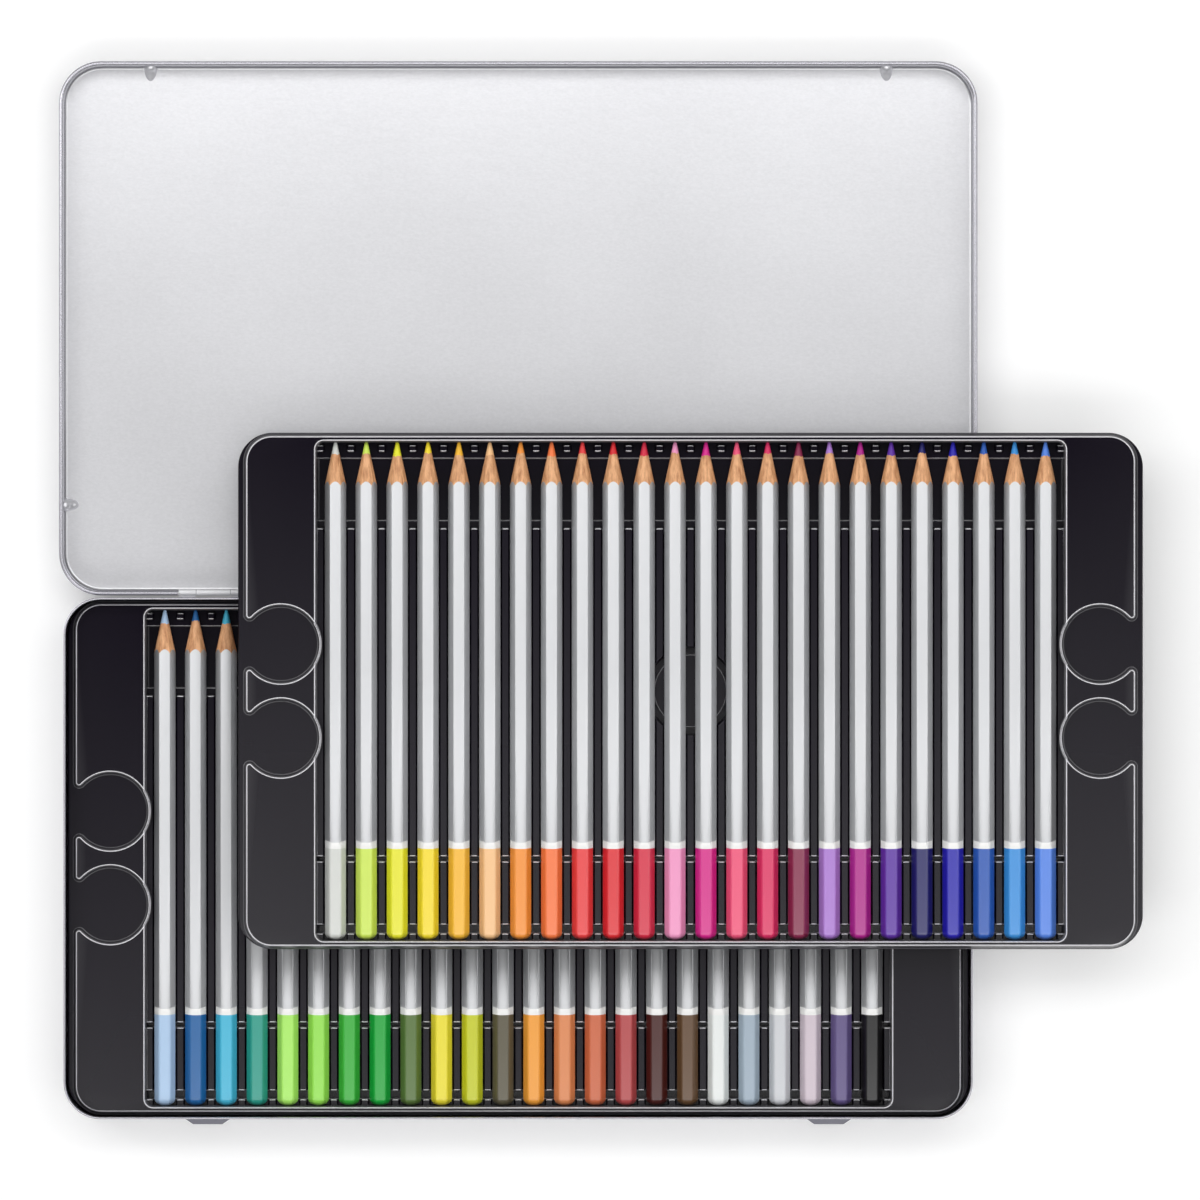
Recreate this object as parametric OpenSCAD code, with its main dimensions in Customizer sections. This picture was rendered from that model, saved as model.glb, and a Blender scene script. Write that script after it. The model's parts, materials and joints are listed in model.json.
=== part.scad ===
// Pencil tin with two trays of coloured pencils: the lid lies open, and the
// upper tray is lifted out and laid across the open tin.
// The pencils set the size of the trays, and the trays set the size of the tin.
// Origin: middle of the base pan's flat underside. +Y points to the hinges, +Z up.

/* [Pencils] */
// Number of pencils in one tray
pencils = 24; // [12:1:24]
// Distance between neighbouring pencils, middle to middle
pitch = 10.85; // [10.8:0.01:12]
// Length of a pencil
pencil_len = 175; // [165:0.5:185]
// Width of a pencil across its flats
flats_w = 6.6; // [6:0.05:6.8]
// Diameter of the colour core
core_d = 3.3; // [2.6:0.1:3.8]
// Gap between the colour core and its bore
core_gap = 0.02; // [0.02:0.01:0.1]
// Length of the sharpened cone, from the tip to the corners of the casing
cone_len = 15.5; // [12:0.1:18]
// Radius of the blunt tip of the core
tip_r = 0.55; // [0.3:0.05:0.8]
// Length of the dipped end coat
coat_len = 35; // [25:0.5:45]
// Thickness of the dipped end coat
coat_t = 0.1; // [0.05:0.01:0.15]
// Depth of the domed end of a pencil
dome_h = 1.6; // [0.8:0.1:2.4]
// Gap below a pencil's end coat
pencil_gap = 0.05; // [0.02:0.01:0.3]

/* [Pencil bed] */
// Gap between a pencil's ends and the trough's walls
end_gap = 0.4; // [0.3:0.05:0.8]
// Space beside the first and the last pencil's share of the trough
side_space = 1.6; // [1.2:0.1:3]
// Height of the bed that the pencils lie on
bed_h = 2; // [1.5:0.1:2.5]
// Height of the ribs between the pencils
rib_h = 5.2; // [4:0.1:5.5]
// Width of the ribs between the pencils
rib_w = 2.4; // [1.6:0.1:2.4]
// Length of the narrow bed under the blunt ends
butt_bed = 2.4; // [1.8:0.1:3]
// Width of the groove between the narrow bed and the coat bed
butt_groove = 2.8; // [1.5:0.1:4]
// Length of the coat bed, which lies under the end coats
coat_bed = 22.5; // [16:0.5:30]
// Width of the groove between the coat bed and the main bed
coat_groove = 1.5; // [1:0.1:3]
// Length of the trough beyond the main bed, under the sharpened cones
cone_space = 28; // [22:0.5:32]
// How far the main bed reaches beyond its ribs
rib_short = 2.8; // [1:0.1:4]
// Length of the bed strip under the tips
tip_bed = 6.1; // [5:0.1:8]
// Length of the ribs on the tip bed
tip_rib = 2.1; // [1:0.1:3]
// Distance between the ribs on the tip bed and the trough's wall
tip_rib_gap = 1.6; // [1:0.1:1.8]
// Radius of the round pad in the middle of the bed
pad_r = 12.7; // [8:0.1:14]
// Width of the groove around the round pad
pad_groove = 2.4; // [1.5:0.1:3]

/* [Trays] */
// Height of a pencil tray
tray_h = 11; // [10:0.1:11.4]
// Thickness of the tray's plastic sheet
film_t = 0.6; // [0.4:0.05:0.8]
// Width of the side panels beside the pencils
panel_w = 24.1; // [20:0.1:32]
// Width of the rail at the pencils' ends
rail_w = 1.45; // [1.3:0.05:4]
// Depth of the rim flange and the finger wells below the top panels
flange_drop = 3; // [2.5:0.1:3.5]
// Width of the rim flange at the tray's left and right
flange_x = 3; // [2:0.1:4]
// Width of the rim flange at the tray's front and back
flange_y = 1.3; // [1.2:0.1:3]
// Radius of the trough's corners
trough_corner_r = 3; // [2:0.1:4]
// Radius of the corners of the hollow under a side panel
hollow_corner_r = 2; // [1:0.1:4]
// Gap between a tray's rim flange and the tin's hem
tray_gap = 0.4; // [0.3:0.05:0.8]

/* [Finger wells] */
// Radius of a finger well
well_r = 14; // [10:0.5:15]
// Distance between the two finger wells of one panel, middle to middle
well_pitch = 33; // [31:0.5:40]

/* [Base pan] */
// Height of the base pan's wall
base_h = 20; // [18:0.5:21]
// Radius of the base pan's outer corners, seen from above
base_corner_r = 13; // [10:0.5:18]
// Thickness of the tinplate sheet
sheet_t = 0.35; // [0.25:0.05:0.45]
// Radius between a pan's flat panel and its wall, on the outside
bend_r = 1.6; // [1:0.1:2.2]
// Height of the folded-in hem at the base pan's rim
hem_h = 3; // [2:0.5:4]

/* [Thumb lugs] */
// Distance between the middle of a thumb lug and the tin's side
lug_in = 50.5; // [30:0.5:70]
// Width of a thumb lug where it leaves the wall
lug_w = 16.5; // [12:0.5:24]
// Width of a thumb lug at its outer edge
lug_tip_w = 10.3; // [6:0.1:11]
// How far a thumb lug stands out of the wall
lug_out = 2.1; // [1:0.1:2.5]
// Height of a thumb lug
lug_h = 1.6; // [1:0.1:3]
// Gap between a thumb lug and the bead of the shut lid
lug_gap = 0.45; // [0.3:0.05:1]

/* [Lid pan] */
// Height of the closed tin
tin_h = 25; // [24.5:0.5:28]
// Gap between the base pan's wall and the lid's wall, at the front and the sides
lid_gap = 0.4; // [0.3:0.05:0.6]
// Radius of the curled bead at the lid's rim
bead_r = 0.75; // [0.6:0.05:0.9]

/* [Stop pips] */
// Radius of each stop pip pressed into the lid's wall
pip_r = 2.35; // [1.5:0.05:2.6]
// How far a stop pip reaches into the lid
pip_in = 2.4; // [1.2:0.1:2.4]
// Distance between the middle of a front pip and the tin's side
pip_side = 30; // [20:0.5:60]
// Distance of each side pip from the hinge axis
pip_y = 31; // [20:1:60]
// Gap between the pips and the base pan's rim when the lid is shut
pip_gap = 0.3; // [0.2:0.05:0.6]

/* [Hinges] */
// Distance between the middle of a hinge and the tin's side
hinge_in = 52.5; // [35:0.5:70]
// Length of a whole hinge
hinge_len = 24.4; // [18:0.2:30]
// Length of the lid's curl in the middle of a hinge
lid_curl_len = 11.8; // [6:0.2:14]
// Radius of the hinge pin
pin_r = 0.6; // [0.4:0.05:0.7]
// Gap between the hinge pin and the curls
pin_gap = 0.05; // [0.02:0.01:0.1]
// Wall of a curl
curl_t = 0.45; // [0.35:0.05:0.5]
// Gap between neighbouring curls, and around the curls
curl_gap = 0.3; // [0.2:0.05:0.5]
// Distance of the hinge axis behind the base pan's wall
hinge_out = 1.87; // [1.7:0.01:2.3]
// How far the lid's wall lies behind the hinge axis
lid_back = 0.1; // [0:0.05:0.2]
// How far a base curl's leaf reaches down the base pan's wall
base_leaf = 3; // [1:0.5:6]
// How far a lid curl's leaf reaches down the lid's wall
lid_leaf = 1; // [0.5:0.5:3]
// How far a lid curl's leaf lies inside both faces of the lid's wall
leaf_step = 0.05; // [0.01:0.01:0.1]

/* [Upper tray, lifted out] */
// How far the lifted tray lies to the right of the tin's middle
lifted_x = 60.6; // [56:0.1:75]
// How far the lifted tray lies behind the tin's middle
lifted_y = 59; // [20:0.5:65]
// Gap between the lifted tray and the rim that it lies on
lifted_gap = 0.3; // [0.1:0.05:0.5]

/* [Hidden] */
$fn = 96;
// cuts reach this far past the faces that they open
cut = 1;
// pieces that are one solid reach this far into each other
eps = 0.01;
// a pan's side laps over the stub of the corner before it
lap = 1;

// tray plan
trough_w = pencils * pitch + 2 * side_space;
trough_d = pencil_len + 2 * end_gap;
top_w = trough_w + 2 * panel_w;
top_d = trough_d + 2 * rail_w;
tray_w = top_w + 2 * flange_x;
tray_d = top_d + 2 * flange_y;

// base pan plan
hem_t = 2 * sheet_t;
base_w = tray_w + 2 * tray_gap + 2 * hem_t;
base_d = tray_d + 2 * tray_gap + 2 * hem_t;
tray_corner_r = base_corner_r - hem_t - tray_gap;
top_corner_r = tray_corner_r - flange_x;

// tray parts
well_x = (top_w + trough_w) / 4;
flange_z = tray_h - flange_drop;
groove_r = pad_r + pad_groove;

// bed strips and rib rows, each [start, end], measured from the pencils' blunt ends
butt_y = -pencil_len / 2;
tip_wall = pencil_len + end_gap;
coat_bed_from = butt_bed + butt_groove;
main_bed_from = coat_bed_from + coat_bed + coat_groove;
main_bed_to = tip_wall - cone_space;
tip_rib_to = tip_wall - tip_rib_gap;
beds = [
    [-end_gap - eps, butt_bed],
    [coat_bed_from, coat_bed_from + coat_bed],
    [main_bed_from, main_bed_to],
    [tip_wall - tip_bed, tip_wall + eps]
];
rib_rows = [
    [-end_gap, butt_bed],
    [coat_bed_from, coat_bed_from + coat_bed],
    [main_bed_from, main_bed_to - rib_short],
    [tip_rib_to - tip_rib, tip_rib_to]
];

// hinge axis, and where the hinges, lugs and pips stand
hinge_y = base_d / 2 + hinge_out;
hinge_z = tin_h / 2;
hinge_x = base_w / 2 - hinge_in;
lug_x = base_w / 2 - lug_in;
pip_x = base_w / 2 - pip_side;
curl_in = pin_r + pin_gap;
curl_r = curl_in + curl_t;
base_curl_len = (hinge_len - lid_curl_len) / 2 - curl_gap;

// lid pan, open flat: its bead's middle is as high as the hinge axis
lid_in_w = base_w + 2 * lid_gap;
lid_out_w = lid_in_w + 2 * sheet_t;
lid_back_y = hinge_y + lid_back;
lid_front_y = 2 * hinge_y + base_d / 2 + lid_gap + sheet_t;
lid_out_d = lid_front_y - lid_back_y;
lid_mid_y = (lid_front_y + lid_back_y) / 2;
lid_rim_z = hinge_z + bead_r;
lid_corner_r = base_corner_r + lid_gap + sheet_t;
pip_h = tin_h - base_h - pip_gap;
lug_z = hinge_z - bead_r - lug_gap - lug_h;

// tray places
lower_place = [0, 0, sheet_t];
lifted_place = [lifted_x, lifted_y, base_h + lifted_gap];

// pencil
coat_flats = flats_w + 2 * coat_t;
pencil_z = bed_h + pencil_gap + coat_flats / 2;
corner_r = flats_w / 2 / cos(30);
cone_slope = (corner_r - tip_r) / cone_len;
dome_r = (coat_flats * coat_flats / 3 + dome_h * dome_h) / (2 * dome_h);

// pencil colours, left to right
upper_colors = [
    "whitesmoke", "greenyellow", "yellow", "gold", "orange", "sandybrown",
    "darkorange", "coral", "tomato", "red", "crimson", "pink",
    "deeppink", "palevioletred", "hotpink", "maroon", "mediumorchid", "mediumvioletred",
    "indigo", "midnightblue", "mediumblue", "royalblue", "dodgerblue", "cornflowerblue"
];
lower_colors = [
    "lightsteelblue", "steelblue", "deepskyblue", "lightseagreen", "lightgreen", "lawngreen",
    "limegreen", "green", "olivedrab", "gold", "yellowgreen", "dimgray",
    "orange", "peru", "chocolate", "indianred", "saddlebrown", "sienna",
    "ivory", "lightslategray", "silver", "thistle", "slateblue", "black"
];

function two_digits(n) = n < 10 ? str("0", n) : str(n);
function upper_name(n) = str("upper_pencil_", two_digits(n));
function lower_name(n) = str("lower_pencil_", two_digits(n));

// A rectangle with round corners, centred
module round_rect(w, d, r) {
    square([w - 2 * r, d], center = true);
    square([w, d - 2 * r], center = true);
    for (x = [-1, 1], y = [-1, 1])
        translate([x * (w / 2 - r), y * (d / 2 - r)])
            circle(r);
}

module round_plate(w, d, r, h) {
    linear_extrude(h)
        round_rect(w, d, r);
}

// A profile carried round a rectangle with round corners. The profile's x is measured
// from the corner's centre outwards, so x = r lies on the rectangle's outline.
module round_the_rim(w, d, r) {
    for (turn = [0, 180])
        rotate([0, 0, turn]) {
            translate([w / 2 - r, d / 2 - r, 0])
                corner_and_side(d - 2 * r)
                    children();
            translate([-w / 2 + r, d / 2 - r, 0])
                rotate([0, 0, 90])
                    corner_and_side(w - 2 * r)
                        children();
        }
}

// One corner of a rim and the side before it. The next side laps over the corner's stub.
module corner_and_side(side) {
    rotate_extrude(angle = 90)
        children();
    rotate([90, 0, 0])
        linear_extrude(side - lap)
            children();
    rotate([0, 0, 90])
        translate([0, 2 * lap, 0])
            rotate([90, 0, 0])
                linear_extrude(2 * lap)
                    children();
}

// The wall of a pan: a strip of the panel, a bend up from it, then a straight wall
module wall_profile(r, h) {
    translate([r - 2 * bend_r, 0])
        square([bend_r, sheet_t]);
    difference() {
        translate([r - bend_r, bend_r])
            circle(bend_r);
        translate([r - bend_r, bend_r])
            circle(bend_r - sheet_t);
        translate([r - 3 * bend_r, 0])
            square(2 * bend_r);
        translate([r - bend_r, bend_r])
            square(2 * bend_r);
    }
    translate([r - sheet_t, bend_r])
        square([sheet_t, h - bend_r]);
}

module base_hem_profile(r) {
    translate([r - hem_t, base_h - hem_h])
        square([hem_t, hem_h]);
}

module bead_profile(r) {
    translate([r + bead_r - sheet_t / 2, lid_rim_z - bead_r])
        difference() {
            circle(bead_r);
            circle(bead_r - sheet_t);
        }
}

// A pressed pan: its panel ends in the middle of the strip that its wall starts with
module pan(w, d, r, h) {
    inset = 1.5 * bend_r;
    round_plate(w - 2 * inset, d - 2 * inset, r - inset, sheet_t);
    round_the_rim(w, d, r)
        wall_profile(r, h);
}

module thumb_lug() {
    translate([0, -base_d / 2, lug_z])
        linear_extrude(lug_h)
            polygon([
                [-lug_w / 2, sheet_t / 2], [-lug_w / 2, 0], [-lug_tip_w / 2, -lug_out],
                [lug_tip_w / 2, -lug_out], [lug_w / 2, 0], [lug_w / 2, sheet_t / 2]
            ]);
}

// One curl around the hinge axis, from x0 to x1, without its bore
module curl(x0, x1) {
    translate([x0, hinge_y, hinge_z])
        rotate([0, 90, 0])
            cylinder(r = curl_r, h = x1 - x0);
}

module curl_bore(x0, x1) {
    translate([x0 - eps, hinge_y, hinge_z])
        rotate([0, 90, 0])
            cylinder(r = curl_in, h = x1 - x0 + 2 * eps);
}

// The base's share of one hinge: a leaf on the wall, turned out into a curl at each end
module base_hinge(x) {
    for (side = [-1, 1]) {
        x0 = side < 0 ? x - hinge_len / 2 : x + hinge_len / 2 - base_curl_len;
        x1 = x0 + base_curl_len;
        difference() {
            union() {
                curl(x0, x1);
                translate([x0, base_d / 2 - sheet_t / 2, hinge_z - curl_r])
                    cube([base_curl_len, hinge_out + sheet_t / 2, sheet_t]);
                translate([x0, base_d / 2 - sheet_t / 2, hinge_z - curl_r - base_leaf])
                    cube([base_curl_len, sheet_t, base_leaf + sheet_t]);
            }
            curl_bore(x0, x1);
        }
    }
}

// The lid's wall and bead are cut away around a whole hinge
module lid_hinge_notch(x) {
    notch_w = hinge_len + 2 * curl_gap;
    translate([x - notch_w / 2, hinge_y - curl_r - cut, hinge_z - curl_r - curl_gap])
        cube([notch_w, 2 * (curl_r + cut), 2 * (curl_r + cut)]);
}

// The lid's share of one hinge: a leaf up from the wall, turned into a curl
module lid_curl(x) {
    x0 = x - lid_curl_len / 2;
    x1 = x + lid_curl_len / 2;
    difference() {
        union() {
            curl(x0, x1);
            translate([x0, lid_back_y + leaf_step, hinge_z - curl_r - curl_gap - lid_leaf])
                cube([lid_curl_len, sheet_t - 2 * leaf_step, curl_r + curl_gap + lid_leaf]);
        }
        curl_bore(x0, x1);
    }
}

module hinge_pin(x) {
    color("gray")
        translate([x - hinge_len / 2, hinge_y, hinge_z])
            rotate([0, 90, 0])
                cylinder(r = pin_r, h = hinge_len);
}

// The space inside a pan's wall and bend, down to the middle of the sheet
module inside_profile() {
    translate([bend_r - sheet_t, bend_r])
        circle(bend_r - sheet_t / 2);
    translate([bend_r - sheet_t, sheet_t / 2])
        square(tin_h);
    translate([-sheet_t / 2, bend_r])
        square(tin_h);
}

// A stop pip stands on the lid's panel against its wall, whose inner face is at x = 0
module pip() {
    intersection() {
        translate([pip_in - pip_r, 0, 0])
            cylinder(r = pip_r, h = pip_h);
        translate([0, pip_r, 0])
            rotate([90, 0, 0])
                linear_extrude(2 * pip_r)
                    inside_profile();
    }
}

module pips() {
    for (x = [-pip_x, pip_x])
        translate([x, lid_front_y - sheet_t, 0])
            rotate([0, 0, -90])
                pip();
    for (side = [0, 1])
        mirror([side, 0, 0])
            translate([-lid_in_w / 2, hinge_y + pip_y, 0])
                pip();
}

module base_pan() {
    color("silver") {
        pan(base_w, base_d, base_corner_r, base_h);
        round_the_rim(base_w, base_d, base_corner_r)
            base_hem_profile(base_corner_r);
        for (x = [-lug_x, lug_x])
            translate([x, 0, 0])
                thumb_lug();
        for (x = [-hinge_x, hinge_x])
            base_hinge(x);
    }
}

module lid_pan() {
    color("gainsboro") {
        difference() {
            translate([0, lid_mid_y, 0])
                union() {
                    pan(lid_out_w, lid_out_d, lid_corner_r, lid_rim_z);
                    round_the_rim(lid_out_w, lid_out_d, lid_corner_r)
                        bead_profile(lid_corner_r);
                }
            for (x = [-hinge_x, hinge_x])
                lid_hinge_notch(x);
        }
        for (x = [-hinge_x, hinge_x])
            lid_curl(x);
        pips();
    }
}

// One cross strip of the bed between two distances from the blunt ends
module bed_strip(span, inset, z0, z1) {
    strip_w = trough_w + 2 * eps - 2 * inset;
    translate([-strip_w / 2, butt_y + span[0] + inset, z0])
        cube([strip_w, span[1] - span[0] - 2 * inset, z1 - z0]);
}

module rib_row(span) {
    rib_z = bed_h - film_t / 2;
    for (n = [0:pencils])
        translate([(n - pencils / 2) * pitch - rib_w / 2, butt_y + span[0], rib_z])
            cube([rib_w, span[1] - span[0], rib_h - rib_z]);
}

module wells(r, z0, z1) {
    for (x = [-well_x, well_x], y = [-well_pitch / 2, well_pitch / 2])
        translate([x, y, z0])
            cylinder(r = r, h = z1 - z0);
}

// The space under the two side panels, open below
module panel_hollows() {
    for (side = [-1, 1])
        translate([side * (trough_w + panel_w) / 2, 0, -cut])
            round_plate(panel_w - 2 * film_t, top_d - 2 * film_t, hollow_corner_r, tray_h - film_t + cut);
}

// The trough. The finger wells' floors bulge into its sides.
module trough_space() {
    difference() {
        translate([0, 0, film_t])
            round_plate(trough_w, trough_d, trough_corner_r, tray_h);
        wells(well_r, 0, flange_z);
    }
}

// The sheet's outer form: rim flange, side panels, finger wells and trough
module tray_shell() {
    difference() {
        union() {
            translate([0, 0, flange_z - film_t])
                round_plate(tray_w, tray_d, tray_corner_r, film_t);
            round_plate(top_w, top_d, top_corner_r, tray_h);
        }
        difference() {
            panel_hollows();
            wells(well_r + film_t, flange_z - film_t, tray_h);
        }
        wells(well_r, flange_z, tray_h + cut);
        trough_space();
    }
}

// The beds and ribs, with a round gap in the middle for the pad
module bed_and_ribs() {
    difference() {
        union() {
            for (span = beds)
                bed_strip(span, 0, film_t / 2, bed_h);
            for (span = rib_rows)
                rib_row(span);
        }
        translate([0, 0, film_t])
            cylinder(r = groove_r, h = tray_h);
    }
    translate([0, 0, film_t / 2])
        cylinder(r = pad_r, h = bed_h - film_t / 2);
}

// The space under the beds and the pad, open below
module bed_hollows() {
    difference() {
        for (span = beds)
            bed_strip(span, film_t, -cut, bed_h - film_t);
        translate([0, 0, -2 * cut])
            cylinder(r = groove_r + film_t, h = tray_h);
    }
    translate([0, 0, -cut])
        cylinder(r = pad_r - film_t, h = cut + bed_h - film_t);
}

// A whole tray, its underside at z = 0 and its middle on the Z axis
module tray() {
    color("dimgray")
        difference() {
            union() {
                tray_shell();
                bed_and_ribs();
            }
            bed_hollows();
        }
}

module lower_tray() {
    translate(lower_place)
        tray();
}

module upper_tray() {
    translate(lifted_place)
        tray();
}

// A hexagon with a flat side up, along +Y from y0 to y1
module hexagon(flats, y0, y1) {
    translate([0, y0, 0])
        rotate([-90, 0, 0])
            cylinder(d = flats / cos(30), h = y1 - y0, $fn = 6);
}

// A round cone down to the tip, which cuts the sharpened end
module sharpened() {
    rotate([-90, 0, 0])
        cylinder(r1 = tip_r + cone_slope * pencil_len, r2 = tip_r, h = pencil_len);
}

module core() {
    intersection() {
        translate([0, dome_h, 0])
            rotate([-90, 0, 0])
                cylinder(r = core_d / 2, h = pencil_len - dome_h);
        sharpened();
    }
}

// A round bar with a domed end, which cuts the blunt end
module domed() {
    translate([0, dome_r, 0])
        rotate([-90, 0, 0]) {
            sphere(dome_r);
            cylinder(r = dome_r, h = pencil_len);
        }
}

// The wooden casing with its dipped end coat, bored for the core
module casing() {
    difference() {
        intersection() {
            union() {
                hexagon(flats_w, dome_h, pencil_len);
                hexagon(coat_flats, 0, coat_len);
            }
            domed();
            sharpened();
        }
        translate([0, dome_h - core_gap, 0])
            rotate([-90, 0, 0])
                cylinder(r = core_d / 2 + core_gap, h = pencil_len);
    }
}

// A whole pencil along +Y in slot n, in the tray's own frame
module pencil(n, shade) {
    color(shade)
        translate([(n - (pencils + 1) / 2) * pitch, butt_y, pencil_z]) {
            core();
            casing();
        }
}

module upper_pencil(n) {
    translate(lifted_place)
        pencil(n, upper_colors[n - 1]);
}

module lower_pencil(n) {
    translate(lower_place)
        pencil(n, lower_colors[n - 1]);
}

base_pan();
lid_pan();
hinge_pin(-hinge_x);  // hinge_pin_left
hinge_pin(hinge_x);  // hinge_pin_right
lower_tray();
upper_tray();
for (n = [1:pencils])
    upper_pencil(n);
for (n = [1:pencils])
    lower_pencil(n);
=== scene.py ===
"""Looks of a flat tin of coloured pencils, with its lid open and its upper tray lifted out."""

import json
import math

import bpy
import numpy as np
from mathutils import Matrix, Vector
from mathutils.geometry import delaunay_2d_cdt


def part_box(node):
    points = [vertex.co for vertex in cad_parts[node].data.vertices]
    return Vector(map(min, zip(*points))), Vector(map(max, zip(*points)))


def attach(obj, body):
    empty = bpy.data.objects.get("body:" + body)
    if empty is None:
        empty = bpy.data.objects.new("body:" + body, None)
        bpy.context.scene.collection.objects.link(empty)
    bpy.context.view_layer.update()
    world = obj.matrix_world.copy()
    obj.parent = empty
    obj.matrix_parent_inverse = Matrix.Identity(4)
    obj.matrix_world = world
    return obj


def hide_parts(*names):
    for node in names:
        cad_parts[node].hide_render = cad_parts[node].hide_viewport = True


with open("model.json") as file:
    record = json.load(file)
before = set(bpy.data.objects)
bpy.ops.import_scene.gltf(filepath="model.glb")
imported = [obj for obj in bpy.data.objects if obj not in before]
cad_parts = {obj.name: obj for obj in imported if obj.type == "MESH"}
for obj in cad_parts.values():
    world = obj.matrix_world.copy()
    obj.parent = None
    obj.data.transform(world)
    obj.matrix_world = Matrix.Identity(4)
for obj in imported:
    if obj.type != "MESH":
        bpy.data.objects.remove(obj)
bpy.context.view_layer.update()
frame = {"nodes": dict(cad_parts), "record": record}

# ---------------------------------------------------------------- sizes, in millimetres

MM = 0.001

# tinplate pans
SHEET_T = 0.35
BEND_R = 1.6
BASE_CORNER_R = 13.0
BASE_PANEL_IN = 3.0 * BEND_R  # from the wall to where the flat panel starts
HEM_H = 3.0
HEM_RUN = 0.35  # the height in which the inner wall meets the hem
HEM_KNEE = (0.1, 0.15)  # a point on that way, inwards and below the hem
BEAD_R = 0.75
LID_GAP = 0.4
LID_CORNER_R = BASE_CORNER_R + LID_GAP + SHEET_T
LID_PANEL_IN = 3.2 * BEND_R
LID_BACK = 0.1  # from the pins' axis to the lid's back wall
PIP_R = 2.35
PIP_FOOT = 5.2
PIP_H = 4.7
PIP_SIDE = 30.0  # from the base's side walls to the front pips
PIP_Y = 31.0  # from the pins' axis to the side pips
PIP_SUNK = 0.1

# hinges and thumb lugs
HINGE_LEN = 24.4
LID_CURL_LEN = 11.8
CURL_GAP = 0.3
CURL_T = 0.4
PIN_PLAY = 0.05
BASE_LEAF = 3.0
BASE_LEAF_BEND_R = 0.4
LID_LEAF = 1.0
LID_LEAF_KNEE = (0.06, 0.1)
LUG_IN = 50.5  # from the base's side walls to the lugs' middles
LUG_W = 16.5
LUG_TIP_W = 10.3
LUG_OUT = 2.1
LUG_ROOT = 0.2
LUG_H = 1.6
LUG_BELOW_BEAD = 0.45
LUG_EDGE_R = 0.35

# trays
TRAY_H = 11.0
TRAY_CORNER_R = 11.9
FLANGE_DROP = 3.0
FLANGE_X = 3.0
FLANGE_Y = 1.3
PANEL_W = 24.1
RAIL_W = 1.45
TROUGH_MARGIN = 3.2  # what the trough is wider than all pencils' pitches
TROUGH_CORNER_R = 3.0
WELL_R = 14.0
WELL_PITCH = 33.0
WELL_LIP_R = 1.0
FLOOR_Z = 0.62
BED_Z = 2.0
RIB_Z = 5.2
RIB_W = 2.4
RIB_CORNER_R = 0.45
RIB_RUN = 0.45
PAD_R = 12.7
PAD_GROOVE = 2.4
FILM_T = 0.5

# pencils
PENCILS = 24
PITCH = 10.85
PENCIL_LEN = 175.0
FLATS_W = 6.6
CORNER_REACH = FLATS_W / 2 / math.cos(math.pi / 6)
BARREL_CORNER_R = 0.3
COAT_T = 0.1
COAT_CORNER_R = 1.3
COAT_LEN = 35.0
COAT_CREEP = 1.0  # how far the coat runs on along the hexagon's corners
COAT_EDGE = 0.95  # from the coat's full length back to its edge, and to the barrel's start
BARREL_EDGE = 0.8
UNDER_COAT = 1.002  # the barrel's growth there, under the coat
RING_LEN = 3.0
RING_CREEP = 0.35
DOME_LEN = 2.6
CONE_LEN = 15.5
SCALLOP = 0.62  # how much is kept of the scallops that a true cone would cut
CORE_R = 1.45
CORE_R_SWING = 0.12  # the cores' widths differ by this, from pencil to pencil
CORE_R_PHASE = 2.4
WAVE_PHASE = 1.7
CORE_WAVES = [(3, 0.16, 1), (7, 0.1, 2)]  # waves round the core's edge, height, phases
TIP_R = 0.5
TIP_ROUND = 0.8  # the rounded tip's length and width, as shares of TIP_R
TIP_SWELL = 1.15
END_GAP = 0.4


def corners(node):
    """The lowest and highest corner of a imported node, in millimetres."""
    low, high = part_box(node)
    return np.array(low) / MM, np.array(high) / MM


base_low, base_high = corners("base_pan")
pin_low, pin_high = corners("hinge_pin_left")
HINGE_Y = (pin_low[1] + pin_high[1]) / 2
HINGE_Z = (pin_low[2] + pin_high[2]) / 2
HINGE_X = -(pin_low[0] + pin_high[0]) / 2
PIN_R = (pin_high[2] - pin_low[2]) / 2
BASE_W = base_high[0] - base_low[0]
BASE_H = base_high[2]
BASE_D = -2 * (base_low[1] + LUG_OUT)
LID_RIM_Z = HINGE_Z + BEAD_R
LID_OUT_W = BASE_W + 2 * LID_GAP + 2 * SHEET_T
LID_BACK_Y = HINGE_Y + LID_BACK
LID_FRONT_Y = 2 * HINGE_Y + BASE_D / 2 + LID_GAP + SHEET_T
LID_OUT_D = LID_FRONT_Y - LID_BACK_Y
LID_MID_Y = (LID_FRONT_Y + LID_BACK_Y) / 2
CUT_LOW_Z = HINGE_Z - (PIN_R + PIN_PLAY + CURL_T) - CURL_GAP

# ---------------------------------------------------------------- mesh helpers


def make_piece(name, points, faces, materials, face_material=None, sharp=40.0):
    """A mesh object from points in millimetres. Faces are rows of point numbers, and
    edges that turn more than `sharp` degrees stay crisp."""
    mesh = bpy.data.meshes.new(name)
    mesh.from_pydata((np.asarray(points, float) * MM).tolist(), [], faces)
    for material in materials:
        mesh.materials.append(material)
    if face_material is not None:
        mesh.polygons.foreach_set("material_index", np.asarray(face_material, np.int32))
    mesh.shade_smooth()
    mesh.set_sharp_from_angle(angle=math.radians(sharp))
    mesh.update()
    piece = bpy.data.objects.new(name, mesh)
    bpy.context.scene.collection.objects.link(piece)
    return piece


def grid_faces(rows, columns, wrap=True):
    """Four-sided faces of a grid of points, row after row. With wrap, the last column
    joins the first. The side that faces out is the one from which rows then columns
    turn anticlockwise."""
    row = np.arange(rows - 1)[:, None] * columns
    column = np.arange(columns if wrap else columns - 1)[None, :]
    after = (column + 1) % columns
    corners_of = [row + column, row + columns + column, row + columns + after, row + after]
    return np.stack([c.ravel() for c in corners_of], axis=1).tolist()


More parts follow.
